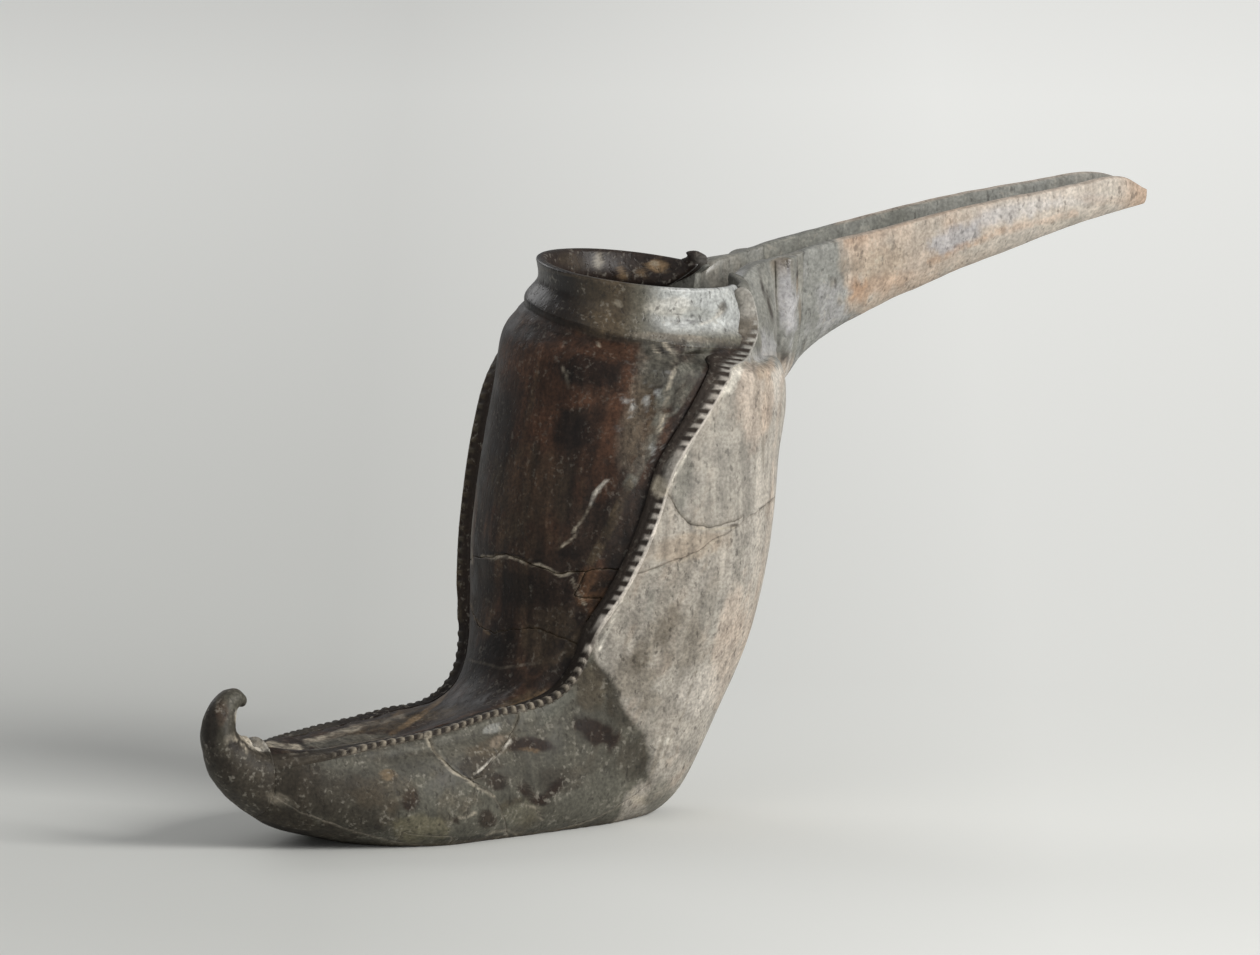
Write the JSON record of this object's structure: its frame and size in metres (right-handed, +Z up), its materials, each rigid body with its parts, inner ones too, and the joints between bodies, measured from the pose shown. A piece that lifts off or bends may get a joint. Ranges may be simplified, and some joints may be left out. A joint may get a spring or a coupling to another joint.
{
  "type": "boot-shaped pouring vessel",
  "caption": "Handmade pottery boot with an upturned toe, notched seams, an open neck and a long open beak spout for pouring.",
  "frame": {"origin": "centre of the bounding box at the resting plane under the sole", "axes": "+X from the toe to the spout's tip, +Y to the boot's far side (its right), +Z up"},
  "size_m": [0.3928, 0.1022, 0.196],
  "materials": {
    "sole_clay": "matt, scuffed grey-brown",
    "repair_fill": "matt repair plaster, toned grey-brown",
    "rusty_fill": "matt repair plaster, toned rusty brown",
    "foot_clay": "burnished slate grey",
    "heel_clay": "burnished grey to pinkish beige",
    "sherd_clay": "burnished pinkish brown",
    "leg_clay": "burnished pinkish beige with grey streaks",
    "panel_clay": "burnished brown-black",
    "collar_clay": "burnished dark grey with a metallic sheen",
    "seam_clay": "pale notched ridge",
    "far_seam_clay": "grey-brown notched ridge",
    "curl_clay": "grey with a pale crust",
    "root_clay": "glossy burnished grey",
    "spout_clay": "burnished orange and beige, grey above",
    "tip_clay": "burnished orange"
  },
  "bodies": {
    "root": {"sole": "sole_clay", "sole_edge_fill": "repair_fill", "panel_fill": "rusty_fill", "foot_wall_toe": "foot_clay", "foot_wall_toe_right": "foot_clay", "foot_wall_heel": "heel_clay", "instep_sherd": "sherd_clay", "leg_wall": "leg_clay", "flank_sherd": "leg_clay", "front_panel_foot": "panel_clay", "front_panel_ankle": "panel_clay", "front_panel_upper": "panel_clay", "neck_collar": "collar_clay", "seam_left": "seam_clay", "seam_right": "far_seam_clay", "toe_curl": "curl_clay", "spout_root": "root_clay", "spout_band": "root_clay", "spout_trough": "spout_clay", "spout_tip": "tip_clay"}
  },
  "joints": []
}
